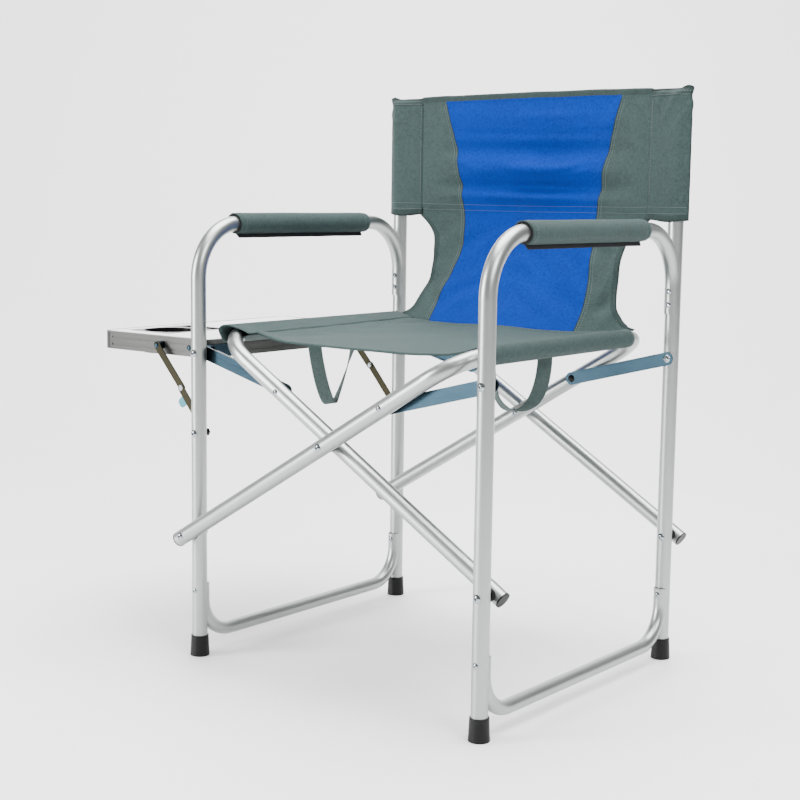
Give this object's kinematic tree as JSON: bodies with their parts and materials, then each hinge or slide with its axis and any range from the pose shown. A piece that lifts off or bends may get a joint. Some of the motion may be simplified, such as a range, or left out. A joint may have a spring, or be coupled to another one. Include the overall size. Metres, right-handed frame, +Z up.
{
  "type": "folding director chair",
  "caption": "Folding director chair in aluminium tube with a blue and grey cloth seat and back, padded arms and a fold-down side table with a cup holder.",
  "frame": {"origin": "middle of the footprint's bounding box, on the floor", "axes": "+Z up, +X towards the chair's right-hand side as seen from in front, +Y towards the back of the chair; the sitter faces -Y"},
  "size_m": [0.7775, 0.514, 0.822],
  "materials": {
    "satin_tube": "satin anodised tube",
    "black_plastic": "moulded, matt",
    "rivet_steel": "bright domed heads",
    "zinc_steel": "bluish zinc plate",
    "strap_steel": "olive passivated plate",
    "blue_plastic": "pale blue plastic",
    "rim_aluminium": "satin extrusion with a groove",
    "white_board": "white laminate over a board core",
    "holder_plastic": "black moulding",
    "foam": "black foam padding",
    "grey_cloth": "grey-green woven polyester",
    "blue_cloth": "royal blue woven polyester",
    "webbing": "black woven webbing"
  },
  "bodies": {
    "left_frame": {"leg_arm_tube_left": "satin_tube", "rear_post_left": "satin_tube", "post_plug_left": "black_plastic", "floor_brace_left": "satin_tube", "foot_cap_front_left": "black_plastic", "foot_cap_rear_left": "black_plastic", "frame_rivets_left": "rivet_steel", "pivot_bolts_left": "rivet_steel", "pivot_spacers_left": "black_plastic", "cap_nuts_left": "black_plastic", "arm_foam_left": "foam", "arm_cover_left": "grey_cloth", "back_sleeve_left": "grey_cloth", "back_panel": "blue_cloth"},
    "right_frame": {"leg_arm_tube_right": "satin_tube", "rear_post_right": "satin_tube", "post_plug_right": "black_plastic", "floor_brace_right": "satin_tube", "foot_cap_front_right": "black_plastic", "foot_cap_rear_right": "black_plastic", "frame_rivets_right": "rivet_steel", "pivot_bolts_right": "rivet_steel", "pivot_spacers_right": "black_plastic", "arm_foam_right": "foam", "arm_cover_right": "grey_cloth", "back_sleeve_right": "grey_cloth"},
    "scissor_a": {"scissor_tube_a": "satin_tube", "end_plugs_a": "black_plastic", "seat_sleeve_right": "grey_cloth", "link_rivets_a": "rivet_steel", "cross_bolts": "rivet_steel", "cross_spacers": "black_plastic", "seat_panel": "grey_cloth"},
    "scissor_b": {"scissor_tube_b": "satin_tube", "end_plugs_b": "black_plastic", "seat_sleeve_left": "grey_cloth", "link_rivets_b": "rivet_steel"},
    "links_left": {"link_left_front": "zinc_steel", "link_left_rear": "zinc_steel", "link_caps_left": "black_plastic"},
    "links_right": {"link_right_front": "zinc_steel", "link_right_rear": "zinc_steel", "link_caps_right": "black_plastic"},
    "table": {"table_rim": "rim_aluminium", "table_corners": "rim_aluminium", "table_board": "white_board", "cup_holder": "holder_plastic", "table_brackets": "zinc_steel"},
    "stay_upper": {"stay_upper_front": "strap_steel", "stay_upper_rear": "strap_steel", "knee_caps_upper": "rivet_steel"},
    "stay_lower": {"stay_lower_front": "strap_steel", "stay_lower_rear": "strap_steel", "knee_caps_lower": "rivet_steel", "thumb_tab": "blue_plastic"},
    "strap_left": {"strap_loop_left": "webbing"},
    "strap_right": {"strap_loop_right": "webbing"}
  },
  "joints": [
    {"name": "fold", "type": "hinge", "parent": "left_frame", "child": "scissor_a", "pos_m": [-0.14977, 0, 0.182], "axis": [0, -1, 0], "range_deg": [0, 41], "deforming": ["seat_panel", "back_panel"]},
    {"name": "cross", "type": "hinge", "parent": "scissor_a", "child": "scissor_b", "pos_m": [0.11023, 0, 0.339], "axis": [0, 1, 0], "range_deg": [0, 82]},
    {"name": "right_pivot", "type": "hinge", "parent": "scissor_b", "child": "right_frame", "pos_m": [0.37023, 0, 0.182], "axis": [0, -1, 0], "range_deg": [0, 41]},
    {"name": "link_swing_left", "type": "hinge", "parent": "left_frame", "child": "links_left", "pos_m": [-0.14977, 0, 0.442], "axis": [0, -1, 0], "range_deg": [0, 83]},
    {"name": "link_swing_right", "type": "hinge", "parent": "right_frame", "child": "links_right", "pos_m": [0.37023, 0, 0.442], "axis": [0, 1, 0], "range_deg": [0, 83]},
    {"name": "strap_plumb_left", "type": "hinge", "parent": "scissor_b", "child": "strap_left", "pos_m": [-0.10914, 0, 0.47147], "axis": [0, -1, 0], "range_deg": [0, 41]},
    {"name": "strap_plumb_right", "type": "hinge", "parent": "scissor_a", "child": "strap_right", "pos_m": [0.32961, 0, 0.47147], "axis": [0, 1, 0], "range_deg": [0, 41]},
    {"name": "table_fold", "type": "hinge", "parent": "left_frame", "child": "table", "pos_m": [-0.14977, 0, 0.442], "axis": [0, -1, 0], "range_deg": [0, 80]},
    {"name": "stay_lower_swing", "type": "hinge", "parent": "left_frame", "child": "stay_lower", "pos_m": [-0.14977, 0, 0.327], "axis": [0, 1, 0], "range_deg": [0, 65]},
    {"name": "stay_upper_swing", "type": "hinge", "parent": "table", "child": "stay_upper", "pos_m": [-0.25277, 0, 0.445], "axis": [0, -1, 0], "range_deg": [0, 15]}
  ],
  "couplings": [
    {"joint": "cross", "follows": "fold", "ratio": 2},
    {"joint": "right_pivot", "follows": "fold", "ratio": 1},
    {"joint": "link_swing_left", "follows": "fold", "ratio": 2.02},
    {"joint": "link_swing_right", "follows": "fold", "ratio": 2.02},
    {"joint": "strap_plumb_left", "follows": "fold", "ratio": 1},
    {"joint": "strap_plumb_right", "follows": "fold", "ratio": 1},
    {"joint": "stay_lower_swing", "follows": "table_fold", "ratio": 0.811},
    {"joint": "stay_upper_swing", "follows": "table_fold", "ratio": 0.179}
  ]
}
